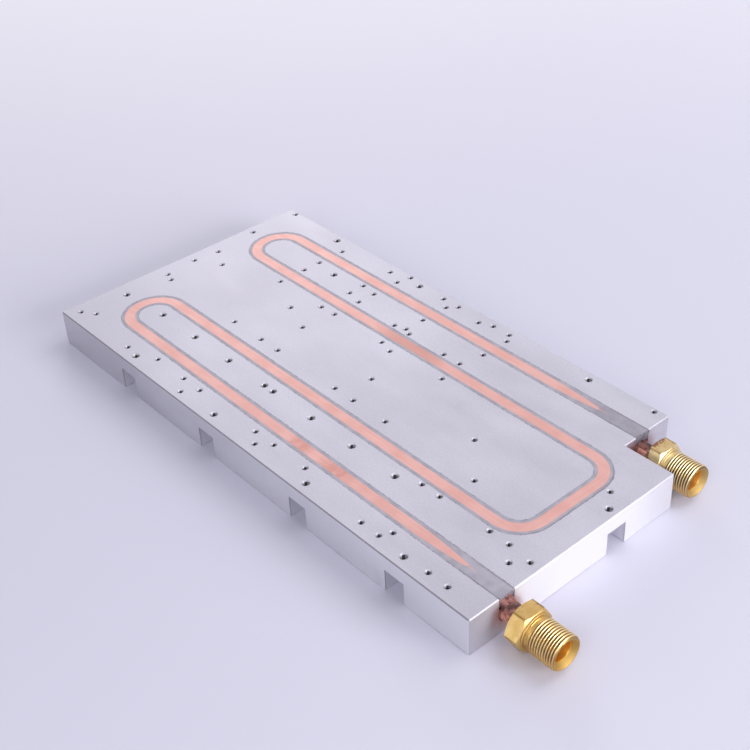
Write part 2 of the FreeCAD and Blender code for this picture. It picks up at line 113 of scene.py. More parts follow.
class Signal:
    """A socket's value in a node tree: arithmetic on it adds the matching Math nodes."""

    def __init__(self, nodes, socket):
        self.nodes = nodes
        self.socket = socket

    def math(self, operation, *others):
        return self.nodes.node("ShaderNodeMath", {"operation": operation}, self, *others)

    def __add__(self, other):
        return self.math("ADD", other)

    def __sub__(self, other):
        return self.math("SUBTRACT", other)

    def __rsub__(self, other):
        return self.nodes.node("ShaderNodeMath", {"operation": "SUBTRACT"}, other, self)

    def __mul__(self, other):
        return self.math("MULTIPLY", other)

    def __truediv__(self, other):
        return self.math("DIVIDE", other)

    def __pow__(self, other):
        return self.math("POWER", other)

    __radd__ = __add__
    __rmul__ = __mul__

    def abs(self):
        return self.math("ABSOLUTE")

    def low(self, other):
        return self.math("MINIMUM", other)

    def high(self, other):
        return self.math("MAXIMUM", other)

    def held(self, lowest, highest):
        return self.high(lowest).low(highest)

    def rise(self, start, end):
        """0 at start, 1 at end, smooth between; the other way round if start > end."""
        if start > end:
            return 1 - self.rise(end, start)
        settings = {"interpolation_type": "SMOOTHSTEP"}
        return self.nodes.node("ShaderNodeMapRange", settings, self, start, end, 0.0, 1.0)


def span(first, second):
    """Length of the slope over two sides at a right angle."""
    return (first * first + second * second) ** 0.5


def least(signals):
    """The lowest of several signals."""
    lowest = signals[0]
    for signal in signals[1:]:
        lowest = lowest.low(signal)
    return lowest


class Nodes:
    """A node tree and the one way in which nodes are added to it."""

    def __init__(self, tree):
        self.tree = tree

    def node(self, kind, settings, *values, output=0, sockets=None, **named):
        """Values feed the first sockets; others are numbered in sockets or named."""
        item = self.tree.nodes.new(kind)
        for label, value in settings.items():
            setattr(item, label, value)
        feeds = dict(enumerate(values))
        feeds.update(sockets or {})
        feeds.update((label.replace("_", " "), value) for label, value in named.items())
        for label, value in feeds.items():
            if isinstance(value, Signal):
                self.tree.links.new(value.socket, item.inputs[label])
            else:
                item.inputs[label].default_value = value
        if output is None:
            return [Signal(self, socket) for socket in item.outputs]
        return Signal(self, item.outputs[output])


class Finish(Nodes):
    """A material: its Principled shader, the nodes that feed it and its colour so far."""

    def __init__(self, name, **constants):
        self.material = bpy.data.materials.new(name)
        self.material.use_nodes = True
        super().__init__(self.material.node_tree)
        self.shader = self.tree.nodes["Principled BSDF"]
        for label, value in constants.items():
            self.shader.inputs[label.replace("_", " ")].default_value = value
        self.place = self.node("ShaderNodeTexCoord", {}, output="Object")
        self.x, self.y, self.z = self.node("ShaderNodeSeparateXYZ", {}, self.place, output=None)
        self.colour = None

    def noise(self, scale, detail=2.0, stretch=(1, 1, 1), shift=(0, 0, 0), roughness=0.5):
        """Grey noise from 0 to 1 over the piece; scale is in patches per metre."""
        where = self.node("ShaderNodeMapping", {}, self.place, Scale=stretch, Location=shift)
        return self.node(
            "ShaderNodeTexNoise", {},
            Vector=where, Scale=scale, Detail=detail, Roughness=roughness,
        )

    def mix(self, amount, first, second):
        sockets = {0: amount, 6: first, 7: second}
        return self.node("ShaderNodeMix", {"data_type": "RGBA"}, output=2, sockets=sockets)

    def coat(self, amount, tone):
        """Lay a tone over the colour so far."""
        self.colour = self.mix(amount, self.colour, tone)

    def bump(self, height, distance, strength):
        return self.node("ShaderNodeBump", {}, Height=height, Distance=distance, Strength=strength)

    def away(self, x, y, z):
        """Distance from a point of the object, in metres."""
        settings = {"operation": "DISTANCE"}
        return self.node("ShaderNodeVectorMath", settings, self.place, (x, y, z), output="Value")

    def done(self, **feeds):
        """Feed the shader and hand over the material."""
        feeds["Base Color"] = self.colour
        for label, value in feeds.items():
            self.tree.links.new(value.socket, self.shader.inputs[label])
        return self.material


def shade(red, green, blue):
    """A colour given as it looks on screen, from 0 to 255."""
    def linear(part):
        part = part / 255
        return part / 12.92 if part <= 0.04045 else ((part + 0.055) / 1.055) ** 2.4
    return (linear(red), linear(green), linear(blue), 1.0)


def off_groove(finish):
    """Distance from the centreline of the serpentine, seen from above, in metres."""
    x, y = finish.x, finish.y
    bends_at = CROSS_RUN - BEND_RADIUS
    low_bend = RUN_2 + BEND_RADIUS
    high_bend = RUN_3 - BEND_RADIUS
    steep = 50  # lifts the distance fast where a bend has ended

    def run(y_line, x_start, x_end):
        return span(x - x.held(x_start, x_end), y - y_line)

    def turn(x_middle, y_middle, side):
        ring = span(x - x_middle, y - y_middle)
        outside = ((x_middle - x) * side).high(0.0) * steep
        return (ring - BEND_RADIUS).abs() + outside

    stretches = [
        run(RUN_1, NEAR_TURN, RIGHT_END),
        run(RUN_2, NEAR_TURN, bends_at),
        run(RUN_3, FAR_TURN, bends_at),
        run(RUN_4, FAR_TURN, CUTOUT_END),
        turn(NEAR_TURN, RUN_1 + BEND_RADIUS, -1),
        turn(FAR_TURN, RUN_3 + BEND_RADIUS, -1),
        turn(bends_at, low_bend, 1) + (y - low_bend).high(0.0) * steep,
        turn(bends_at, high_bend, 1) + (high_bend - y).high(0.0) * steep,
        (y - y.held(low_bend, high_bend)).abs() + (x - CROSS_RUN).abs(),
    ]
    return least(stretches)


def around_exit(finish, seat):
    """Distance from the tube's axis where it leaves the plate."""
    return span(finish.y - seat.y, finish.z - seat.z)


# Finishes

def milled_aluminium():
    finish = Finish("milled aluminium")
    x, y, z = finish.x, finish.y, finish.z
    clouds = finish.noise(14, 3.0, shift=(0.3, 0.1, 0))
    smears = finish.noise(60, 4.0, stretch=(0.35, 1, 1), shift=(1.7, 0.4, 0))
    grain = finish.noise(2600)
    # painted shade: the plate's colour is painted a little darker towards its left end
    leftward = x.rise(20 * MM, LEFT_END)
    tone = (clouds * 0.55 + smears * 0.45 - leftward * 0.12).rise(0.3, 0.66)
    finish.colour = finish.mix(tone, shade(178, 175, 186), shade(194, 192, 203))
    finish.coat(grain.rise(0.35, 0.75) * 0.16, shade(228, 228, 236))
    speckle = finish.noise(1100, 3.0, shift=(2, 6, 0)).rise(0.35, 0.65)
    finish.coat(speckle * 0.16, shade(150, 147, 158))
    # painted shade: a thin dark line, broken into dashes, along both lips of the groove, where the
    # resin meets the plate
    lip = off_groove(finish).rise(GROOVE_RADIUS + 0.45 * MM, GROOVE_RADIUS + 0.05 * MM)
    lip = lip * z.rise(PLATE_HEIGHT - 0.4 * MM, PLATE_HEIGHT - 0.05 * MM)
    dashes = finish.noise(620, 3.0, shift=(4, 4, 0)).rise(0.52, 0.62)
    finish.coat(lip * (0.28 + dashes * 0.7), shade(100, 94, 108))
    # painted light: the near side is painted paler, more so to the right, for the bright floor it
    # mirrors there
    side = y.rise(NEAR_SIDE + 0.2 * MM, NEAR_SIDE + 0.05 * MM)
    paler = 0.14 + x.rise(LEFT_END + 37.5 * MM, RIGHT_END) * 0.58
    finish.coat(side * paler, shade(240, 239, 244))
    # painted light: the end face, which faces the window lamp, is painted nearly white, a little
    # darker towards its far side, and made rougher and less metallic further down; its near corner
    # is left as it is
    end_face = x.rise(RIGHT_END - 0.6 * MM, RIGHT_END - 0.1 * MM)
    white = end_face * y.rise(RUN_1 - 28 * MM, RUN_1 + 12 * MM)
    paint = finish.mix(y.rise(10 * MM, 50 * MM), shade(228, 227, 232), shade(204, 203, 212))
    finish.coat(white * 0.8, paint)
    # heat tint round both ends of the tube
    spread = finish.noise(260, 4.0, shift=(0, 2, 1)) * (5 * MM)
    face = x.rise(RIGHT_END - 1.2 * MM, RIGHT_END - 0.2 * MM)
    near_exit = around_exit(finish, INLET_SEAT) + spread
    finish.coat(near_exit.rise(13.5 * MM, 6.5 * MM) * face * 0.8, shade(204, 158, 156))
    finish.coat(near_exit.rise(9.5 * MM, 5.2 * MM) * face * 0.3, shade(140, 88, 84))
    far_face = x.rise(CUTOUT_END - 1.2 * MM, CUTOUT_END - 0.2 * MM)
    far_face = far_face * x.rise(CUTOUT_END + 3 * MM, CUTOUT_END + 1 * MM)
    far_exit = around_exit(finish, OUTLET_SEAT) + spread
    finish.coat(far_exit.rise(14 * MM, 5.5 * MM) * far_face * 0.7, shade(176, 122, 118))
    # painted shade: the broken edge over the near side is painted darker, for the dark room it
    # mirrors
    broken = NEAR_SIDE + EDGE_BREAK
    near_edge = y.rise(broken + 0.05 * MM, broken - 0.05 * MM)
    near_edge = near_edge * z.rise(PLATE_HEIGHT - EDGE_BREAK - 0.2 * MM, PLATE_HEIGHT - EDGE_BREAK)
    finish.coat(near_edge * 0.7, shade(112, 104, 116))
    # painted light: the walls inside the pockets are painted paler, to lift them out of their
    # shade
    low = z.rise(POCKET_HEIGHT + 0.3 * MM, POCKET_HEIGHT + 0.1 * MM)
    inside = y.rise(NEAR_SIDE + 0.3 * MM, NEAR_SIDE + 0.8 * MM)
    inside = inside * x.rise(RIGHT_END - 0.3 * MM, RIGHT_END - 0.8 * MM)
    side_wall, end_wall = NEAR_SIDE + POCKET_DEPTH, RIGHT_END - POCKET_DEPTH
    pockets = y.rise(side_wall + 0.6 * MM, side_wall + 0.2 * MM)
    pockets = pockets.high(x.rise(end_wall - 0.6 * MM, end_wall - 0.2 * MM))
    finish.coat(low * inside * pockets * 0.8, shade(242, 241, 246))
    # faint stain
    stain = finish.noise(38, 5.0, shift=(0.8, 0.3, 0), roughness=0.7).rise(0.6, 0.74)
    finish.coat(stain * 0.12, shade(150, 146, 160))
    # reddish tint in the corner of the cut-out, beside the scorched tube: heat tint, with a
    # painted reflection of the copper
    corner = finish.away(CUTOUT_END + 3 * MM, RUN_4 - 8 * MM, EXIT_HEIGHT)
    cutout = z.rise(PLATE_HEIGHT - 0.4 * MM, PLATE_HEIGHT - 0.8 * MM)
    cutout = cutout * y.rise(CUTOUT_SIDE - 4.5 * MM, CUTOUT_SIDE - 0.5 * MM)
    cutout = cutout * x.rise(CUTOUT_END - 1 * MM, CUTOUT_END)
    glow = (corner + spread * 0.5).rise(13 * MM, 5 * MM) * cutout
    finish.coat(glow * 0.5, shade(176, 116, 140))
    return finish.done(
        Roughness=0.40 + smears * 0.14 + grain * 0.06 + white * 0.12,
        Metallic=0.7 - white * 0.45,
        Normal=finish.bump(grain, 0.02 * MM, 0.5),
    )


def skimmed_copper():
    finish = Finish("skimmed copper", Metallic=0.45)
    x, y, z = finish.x, finish.y, finish.z
    blotch = finish.noise(70, 4.0, shift=(0.4, 0, 0))
    # fine skimming lines along the tube
    streaks = finish.noise(900, 3.0, stretch=(0.06, 1, 1))
    cross_streaks = finish.noise(900, 3.0, stretch=(1, 0.06, 1), shift=(1, 1, 0))
    cross = x.rise(CROSS_RUN - 6 * MM, CROSS_RUN - 3 * MM)
    lines = streaks * (1 - cross) + cross_streaks * cross
    finish.colour = finish.mix(blotch.rise(0.3, 0.7), shade(213, 161, 153), shade(220, 172, 165))
    finish.coat(lines.rise(0.35, 0.8) * 0.24, shade(204, 134, 122))
    # browner stretch of the third run
    wobble = finish.noise(45, 3.0, shift=(5, 2, 0)) * (24 * MM)
    third = (y - RUN_3).abs().rise(9 * MM, 6 * MM)
    brown = third * ((x - 2 * MM).abs() + wobble).rise(46 * MM, 20 * MM)
    finish.coat(brown * 0.55, shade(182, 124, 112))
    # redder rubbed places on the first run
    first = (y - RUN_1).abs().rise(9 * MM, 6 * MM)
    rub = finish.noise(230, 5.0, stretch=(1, 0.5, 1), shift=(2, 0, 3))
    left_patch = ((x - 24 * MM).abs() + rub * (10 * MM)).rise(15 * MM, 8 * MM)
    right_patch = ((x - 51 * MM).abs() + rub * (10 * MM)).rise(19 * MM, 9 * MM)
    redder = first * left_patch.high(right_patch) * (0.55 + rub.rise(0.4, 0.6) * 0.45)
    finish.coat(redder * 0.62, shade(190, 126, 114))
    # scorched where it leaves the plate
    near_stub = x.rise(RIGHT_END - 2.5 * MM, RIGHT_END - 1 * MM)
    far_stub = x.rise(CUTOUT_END - 2.5 * MM, CUTOUT_END - 1 * MM) * y.rise(*PAST_RUN_3)
    char = finish.noise(420, 5.0, shift=(0, 3, 0), roughness=0.65)
    top = z.rise(EXIT_HEIGHT - 2 * MM, EXIT_HEIGHT + 3.5 * MM)
    # painted light: the far stub is painted pale pink with orange patches, lighter than the copper
    # around, where it lies in the cut-out's shade
    warm = finish.mix(char.rise(0.5, 0.8), shade(255, 196, 174), shade(232, 148, 126))
    burnt = (char + top * 0.22).rise(0.56, 0.8)
    burnt = finish.mix(burnt, shade(226, 166, 152), shade(140, 80, 70))
    finish.coat(far_stub, warm)
    finish.coat(near_stub, burnt)
    return finish.done(
        Roughness=0.42 + lines * 0.14 + near_stub.high(far_stub) * 0.1,
        Normal=finish.bump(lines + blotch * 0.5, 0.03 * MM, 0.4),
    )


def groove_resin():
    finish = Finish("groove resin")
    x, y = finish.x, finish.y
    mottle = finish.noise(150, 4.0, shift=(0.2, 0.7, 0))
    fine = finish.noise(1400, 3.0)
    finish.colour = finish.mix(mottle.rise(0.3, 0.7), shade(154, 150, 163), shade(174, 170, 183))
    finish.coat(fine.rise(0.5, 0.8) * 0.25, shade(188, 185, 196))
    # painted shade along its edges, where the resin meets the groove's walls, strongest over the
    # dived ends of the tube
    edge = off_groove(finish).rise(GROOVE_RADIUS - 1 * MM, GROOVE_RADIUS - 0.1 * MM)
    filled = x.rise(CUTOUT_END - 26 * MM, CUTOUT_END - 14 * MM) * y.rise(*PAST_RUN_3)
    filled = filled.high(x.rise(RIGHT_END - 26 * MM, RIGHT_END - 16 * MM))
    finish.coat(edge * (0.2 + filled * 0.45), shade(108, 102, 116))
    far_end = x.rise(CUTOUT_END - 40 * MM, CUTOUT_END - 22 * MM) * y.rise(*PAST_RUN_3)
    finish.coat(far_end * 0.3, shade(112, 108, 120))
    # a thin film lets the copper shine through just past its tip
    grow = fine * (0.5 * MM)
    near_film = ((y - RUN_1).abs() + grow).rise(1.0 * MM, 0.3 * MM)
    near_film = near_film * x.rise(RIGHT_END - 15 * MM, RIGHT_END - 22 * MM)
    near_film = near_film * x.rise(80 * MM, 100 * MM)
    far_film = ((y - RUN_4).abs() + grow).rise(1.0 * MM, 0.3 * MM)
    far_film = far_film * x.rise(CUTOUT_END - 19 * MM, CUTOUT_END - 26 * MM)
    far_film = far_film * x.rise(60 * MM, 80 * MM)
    finish.coat(near_film.high(far_film) * 0.5, shade(226, 160, 150))
    return finish.done(
        Roughness=0.46 + mottle * 0.16,
        Normal=finish.bump(fine + mottle, 0.05 * MM, 0.6),
    )


def turned_brass(name, seat, flux_reach, root_shade_strength, dark, light):
    """Brass of one fitting; flux_reach is how far its flux spots go from the braze; the next
    argument sets the painted shade in the thread's roots.
    """
    finish = Finish(name)
    along = finish.x - seat.x
    reach = around_exit(finish, seat)
    top = seat.z + HEX_FLATS / 2
    cloud = finish.noise(160, 3.0, shift=(0.3, 0.2, 0.9))
    scuff = finish.noise(1500, 4.0, stretch=(1, 0.3, 0.3), roughness=0.6)
    rings = finish.noise(2200, stretch=(1, 0.02, 0.02))
    finish.colour = finish.mix(cloud.rise(0.3, 0.7), dark, light)
    finish.coat(scuff.rise(0.5, 0.85) * 0.4, shade(240, 222, 172))
    # the hexagon is tarnished, with painted shade added on its upper side, where it mirrors the
    # dark room above
    tarnish_and_shade = finish.noise(420, 5.0, shift=(3, 1, 0), roughness=0.7).rise(0.5, 0.68)
    tarnish_and_shade = tarnish_and_shade * (0.35 + 0.65 * finish.z.rise(top - 2 * MM, top - 0.3 * MM))
    on_hex = along.rise(HEX_THICKNESS + 1 * MM, HEX_THICKNESS - 1 * MM)
    finish.coat(tarnish_and_shade * on_hex * 0.6, shade(140, 100, 58))
    # painted shade: the top flat of the hexagon is painted darker, for the dark room it mirrors
    upper = finish.z.rise(top - 0.3 * MM, top - 0.05 * MM)
    finish.coat(upper * on_hex * 0.4, shade(176, 138, 86))
    # flux spots towards the braze
    spots = finish.noise(520, 4.0, shift=(1, 5, 2), roughness=0.7)
    spots = (spots + along.rise(flux_reach, -1 * MM) * 0.5).rise(0.78, 0.92)
    finish.coat(spots * 0.85, shade(112, 48, 34))
    # painted shade in the thread's roots, more golden on the lower half, for the warm floor
    # mirrored there
    past_neck = along.rise(NECK_FRONT, NECK_FRONT + 0.4 * MM)
    root = reach.rise(THREAD_RADIUS - 0.15 * MM, THREAD_RADIUS - 0.6 * MM) * past_neck
    root = root * reach.rise(MOUTH_RADIUS + 0.1 * MM, MOUTH_RADIUS + 0.3 * MM)
    lit = finish.z.rise(seat.z - 4 * MM, seat.z + 4 * MM)
    root_tone = finish.mix(lit, shade(166, 112, 40), shade(112, 76, 34))
    finish.coat(root * root_shade_strength * (0.7 + lit * 0.3), root_tone)
    # painted highlights on the crests, golden below and paler on the upper half
    crest = reach.rise(THREAD_RADIUS - 0.3 * MM, THREAD_RADIUS - 0.1 * MM) * past_neck
    finish.coat(crest * (1 - lit) * 0.8, shade(226, 174, 80))
    finish.coat(crest * lit * (0.9 - root_shade_strength * 0.5), shade(248, 234, 198))
    # painted shade: the conical mouth is painted darker and made rougher, against the lamp's glare
    # on it
    cone_start = FITTING_LENGTH - MOUTH_DEPTH
    cone = along.rise(cone_start, cone_start + 0.3 * MM)
    cone = cone * reach.rise(MOUTH_RADIUS + 0.3 * MM, MOUTH_RADIUS)
    finish.coat(cone * 0.75, shade(172, 140, 76))
    # painted shade: the bore is painted darker and warmer, as the inside of a brass hollow
    bore = reach.rise(PORT_RADIUS + 0.4 * MM, PORT_RADIUS)
    finish.coat(bore * 0.6, shade(226, 164, 52))
    # the hexagon is darker along its corners
    corner = reach.rise(HEX_CORNER - 0.42 * MM, HEX_CORNER - 0.12 * MM) * on_hex
    finish.coat(corner * (0.55 + tarnish_and_shade * 0.4), shade(96, 64, 32))
    return finish.done(
        Roughness=0.3 + scuff * 0.16 + spots * 0.3 + cone * 0.25,
        Metallic=1 - spots * 0.8,
        Normal=finish.bump(scuff * 0.6 + rings * 0.4, 0.03 * MM, 0.5),
    )


def burnt_flux():
    finish = Finish("burnt flux")
    char = finish.noise(300, 4.0, shift=(2, 0, 1), roughness=0.6)
    glaze = finish.noise(620, 3.0, shift=(0, 4, 0))
    finish.colour = finish.mix(char.rise(0.36, 0.62), shade(88, 52, 52), shade(178, 118, 108))
    finish.coat(glaze.rise(0.58, 0.72) * 0.5, shade(204, 184, 184))
    return finish.done(
        Roughness=0.3 + char * 0.5,
        Normal=finish.bump(char + glaze * 0.4, 0.3 * MM, 0.8),
    )


def braze_metal(name, dark, light):
    finish = Finish(name, Metallic=0.7)
    flow = finish.noise(380, 4.0, shift=(1, 2, 5))
    finish.colour = finish.mix(flow.rise(0.35, 0.65), dark, light)
    return finish.done(
        Roughness=0.35 + flow * 0.35,
        Normal=finish.bump(flow, 0.2 * MM, 0.6),
    )


def cut_threads():
    """Finish of the threads in the tapped holes, by the side of the hole's wall."""
    finish = Finish("freshly cut threads", Metallic=0.35)
    shine = finish.noise(1600)
    # painted light: the threads are painted near white, paler than the plate, so the holes read
    # lit inside
    finish.colour = finish.mix(shine, shade(232, 230, 238), shade(250, 250, 255))
    wall = finish.node("ShaderNodeAttribute", {"attribute_name": WALL_SIDE}, output="Vector")
    east, north, _ = finish.node("ShaderNodeSeparateXYZ", {}, wall, output=None)
    # one upright stretch of the wall mirrors the dark side of the room
    opposite = north * 0.63 - east * 0.78
    finish.coat(opposite.rise(0.8, 0.93) * 0.9, shade(34, 32, 38))
    # beside it every other turn of the thread is painted dark, painted shade between the bright
    # turns
    beside = (east * 0.66 + north * 0.75).rise(0.3, 0.5)
    turns = (finish.z * (FULL_TURN / (0.9 * MM))).math("SINE").rise(-0.3, 0.3)
    finish.coat(beside * turns * 0.85, shade(52, 50, 58))
    return finish.done(Roughness=0.26 + shine * 0.14)


RESIN = groove_resin()
INLET_BRASS = turned_brass(
    "inlet brass", INLET_SEAT, flux_reach=1 * MM, root_shade_strength=0.62,
    dark=shade(208, 172, 104), light=shade(228, 198, 132),
)
OUTLET_BRASS = turned_brass(
    "outlet brass", OUTLET_SEAT, flux_reach=7 * MM, root_shade_strength=0.85,
    dark=shade(214, 190, 138), light=shade(232, 212, 166),
)
FLUX = burnt_flux()
INLET_BRAZE = braze_metal("inlet braze", shade(120, 66, 54), shade(212, 146, 122))
OUTLET_BRAZE = braze_metal("outlet braze", shade(42, 34, 36), shade(112, 78, 70))


def dress(node, material):
    """Give a CAD node its finish."""
    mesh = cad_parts[node].data
    mesh.materials.clear()
    mesh.materials.append(material)


dress("base_plate", milled_aluminium())
dress("coolant_tube", skimmed_copper())
dress("groove_resin", RESIN)


# Mesh tools

def placed(name, mesh, smooth_angle):
    """An object in the scene for a mesh, smooth up to an angle in degrees."""
    for polygon in mesh.polygons:
        polygon.use_smooth = True
    mesh.set_sharp_from_angle(angle=math.radians(smooth_angle))
    piece = bpy.data.objects.new(name, mesh)
    bpy.context.scene.collection.objects.link(piece)
    return piece


def mesh_piece(name, points, faces, material, smooth_angle=32):
    """A piece from points and faces, with its doubles merged."""
    mesh = bpy.data.meshes.new(name)
    mesh.from_pydata(points, [], faces)
    shape = bmesh.new()
    shape.from_mesh(mesh)
    bmesh.ops.remove_doubles(shape, verts=shape.verts, dist=MERGE_GAP)
    shape.to_mesh(mesh)
    shape.free()
    mesh.validate()
    mesh.materials.append(material)
    return placed(name, mesh, smooth_angle)


def joined(name, pieces):
    """One object from several that share a material, closed along their seams."""
    points, faces = [], []
    for piece in pieces:
        start = len(points)
        points += [vertex.co.copy() for vertex in piece.data.vertices]
        for polygon in piece.data.polygons:
            faces.append([start + corner for corner in polygon.vertices])
    result = mesh_piece(name, points, faces, pieces[0].data.materials[0])
    for piece in pieces:
        bpy.data.objects.remove(piece, do_unlink=True)
    return result


def ring_faces(rows, count, closed=False):
    """Quads between rows of points that close round an axis; closed joins last and first row."""
    faces = []
    for row in range(rows if closed else rows - 1):
        here, there = row * count, (row + 1) % rows * count
        for step in range(count):
            following = (step + 1) % count
            faces.append([here + step, here + following, there + following, there + step])
    return faces


def revolved(name, seat, profile, material, count=ROUND_STEPS, closed=False, smooth_angle=32):
    """Turn a profile round the seat's X axis; profile(angle) lists (along, radius) pairs."""
    angles = [FULL_TURN * step / count for step in range(count)]
    rows = list(zip(*[profile(angle) for angle in angles]))
    points = [
        seat + Vector((along, radius * math.cos(angle), radius * math.sin(angle)))
        for row in rows
        for angle, (along, radius) in zip(angles, row)
    ]
    faces = ring_faces(len(rows), count, closed)
    return mesh_piece(name, points, faces, material, smooth_angle)


class Growth(Nodes):
    """Geometry Nodes that roll a unit sheet into a thread and end in a plain mesh."""

    def __init__(self, name, floats, vectors=()):
        super().__init__(bpy.data.node_groups.new(name, "GeometryNodeTree"))
        face = self.tree.interface
        for way in ("INPUT", "OUTPUT"):
            face.new_socket("Geometry", in_out=way, socket_type="NodeSocketGeometry")
        kinds = dict.fromkeys(floats, "Float")
        kinds.update(dict.fromkeys(vectors, "Vector"))
        kinds.update(dict.fromkeys(("Steps Along", "Steps Round"), "Int"))
        self.identifiers = {}
        for label, kind in kinds.items():
            socket = face.new_socket(label, in_out="INPUT", socket_type="NodeSocket" + kind)
            self.identifiers[label] = socket.identifier
        given = self.node("NodeGroupInput", {}, output=None)
        self.given = {signal.socket.name: signal for signal in given}

    def shares(self):
        """How far a point of the unit sheet lies along it and round it, from 0 to 1."""
        spot = self.node("GeometryNodeInputPosition", {})
        along, around, _ = self.node("ShaderNodeSeparateXYZ", {}, spot, output=None)
        return along + 0.5, around + 0.5

    def rolled(self, place):
        """The unit sheet with its points moved, its seam closed and its faces turned over."""
        sheet = self.node(
            "GeometryNodeMeshGrid", {}, Size_X=1.0, Size_Y=1.0,
            Vertices_X=self.given["Steps Along"], Vertices_Y=self.given["Steps Round"],
        )
        moved = self.node("GeometryNodeSetPosition", {}, Geometry=sheet, Position=place)
        closed = self.node("GeometryNodeMergeByDistance", {}, Geometry=moved, Distance=MERGE_GAP)
        return self.node("GeometryNodeFlipFaces", {}, Mesh=closed)

    def ends_in(self, geometry, material):
        """Close the tree with real geometry in its finish."""
        real = self.node("GeometryNodeRealizeInstances", {}, geometry)
        painted = self.node("GeometryNodeSetMaterial", {}, Geometry=real, Material=material)
        self.node("NodeGroupOutput", {}, painted, output=None)

    def grown(self, name, values, base=None):
        """Run the tree on an object and keep the result as a plain mesh."""
        mesh = base or bpy.data.meshes.new(name + " base")
        host = bpy.data.objects.new(name + " host", mesh)
        bpy.context.scene.collection.objects.link(host)
        modifier = host.modifiers.new("grow", "NODES")
        modifier.node_group = self.tree
        for label, value in values.items():
            modifier[self.identifiers[label]] = value
        bpy.context.view_layer.update()
        seen = host.evaluated_get(bpy.context.evaluated_depsgraph_get())
        result = bpy.data.meshes.new_from_object(seen)
        host.modifiers.clear()
        bpy.data.objects.remove(host, do_unlink=True)
        return placed(name, result, 70)


# Fittings

def hexagon_piece(name, seat, material):
    """Hexagon with flats at the top and bottom and its corners turned off on both faces."""
    side = math.pi / 3

    def profile(angle):
        part = (angle + math.pi / 2) % side
        reach = HEX_FLATS / 2 / math.cos(min(part, side - part))
        flat = min(reach, HEX_SEAT_RADIUS)
        trim = (reach - flat) * HEX_TRIM_SLOPE + SOFT_EDGE
        return [
            (0, TUBE_RADIUS),
            (0, flat - SOFT_EDGE),
            (SOFT_EDGE, flat),
            (trim, reach),
            (HEX_THICKNESS - trim, reach),
            (HEX_THICKNESS - SOFT_EDGE, flat),
            (HEX_THICKNESS, flat - SOFT_EDGE),
            (HEX_THICKNESS, COLLAR_RADIUS - SOFT_EDGE),
        ]
    return revolved(name, seat, profile, material)


def screw_thread(material):
    """Geometry nodes: a rolled sheet whose radius follows a screw thread."""
    floats = ("Length", "Crest Radius", "Depth", "Pitch", "Lead")
    growth = Growth("screw thread", floats, vectors=("Seat",))
    given = growth.given
    share, turn = growth.shares()
    along = share * given["Length"]
    angle = turn * FULL_TURN
    phase = (along / given["Pitch"] - turn).math("FRACT")
    flank = ((phase * 2.0 - 1.0).abs() * FLANK_SLOPE - FLANK_START).held(0.0, 1.0)
    # both ends of the thread run out on a chamfer
    end_gap = along.low(given["Length"] - along)
    chamfer = (given["Lead"] - end_gap).high(0.0)
    radius = given["Crest Radius"] - (flank * given["Depth"]).high(chamfer)
    spot = growth.node(
        "ShaderNodeCombineXYZ", {},
        along, radius * angle.math("COSINE"), radius * angle.math("SINE"),
    )
    place = growth.node("ShaderNodeVectorMath", {"operation": "ADD"}, spot, given["Seat"])
    growth.ends_in(growth.rolled(place), material)
    return growth


def fitting(name, seat, material, cad_node):
    """Hexagon, neck, thread and mouth, joined to one closed piece."""
    hexagon = hexagon_piece(name + "_hexagon", seat, material)
    collar = [
        (HEX_THICKNESS, COLLAR_RADIUS - SOFT_EDGE),
        (HEX_THICKNESS + SOFT_EDGE, COLLAR_RADIUS),
        (COLLAR_FRONT - SOFT_EDGE, COLLAR_RADIUS),
        (COLLAR_FRONT, COLLAR_RADIUS - SOFT_EDGE),
        (COLLAR_FRONT, NECK_RADIUS + NECK_FILLET),
        (COLLAR_FRONT + NECK_FILLET, NECK_RADIUS),
        (NECK_FRONT - 0.1 * MM, NECK_RADIUS),
        (NECK_FRONT, THREAD_RADIUS - THREAD_LEAD),
    ]
    neck = revolved(name + "_neck", seat, lambda angle: collar, material)
    sizes = {
        "Length": FITTING_LENGTH - NECK_FRONT,
        "Crest Radius": THREAD_RADIUS,
        "Depth": THREAD_DEPTH,
        "Pitch": THREAD_PITCH,
        "Lead": THREAD_LEAD,
        "Seat": seat + Vector((NECK_FRONT, 0, 0)),
        "Steps Round": ROUND_STEPS + 1,
        "Steps Along": THREAD_STEPS,
    }
    thread = screw_thread(material).grown(name + "_thread", sizes)
    end = FITTING_LENGTH
    inside = [
        (end, THREAD_RADIUS - THREAD_LEAD),
        (end, MOUTH_RADIUS + SOFT_EDGE),
        (end - SOFT_EDGE, MOUTH_RADIUS - 0.05 * MM),
        (end - MOUTH_DEPTH + SOFT_EDGE, PORT_RADIUS + SOFT_EDGE),
        (end - MOUTH_DEPTH - SOFT_EDGE, PORT_RADIUS),
        (HEX_THICKNESS, PORT_RADIUS),
        (HEX_THICKNESS, TUBE_RADIUS),
        (0, TUBE_RADIUS),
    ]
    mouth = revolved(name + "_mouth", seat, lambda angle: inside, material)
    piece = joined(name, [hexagon, neck, thread, mouth])
    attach(piece, "root")
    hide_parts(cad_node)


fitting("inlet_fitting_look", INLET_SEAT, INLET_BRASS, "inlet_fitting")
fitting("outlet_fitting_look", OUTLET_SEAT, OUTLET_BRASS, "outlet_fitting")


# Braze rings and burnt flux

MOST_WAVES_ROUND = 11
WAVE_SHIFT = 6.28
WAVE_SLANT = 900  # radians per metre along the tube
SLEEVE_SINK = 0.08 * MM  # the sleeves begin this far inside the tube's skin


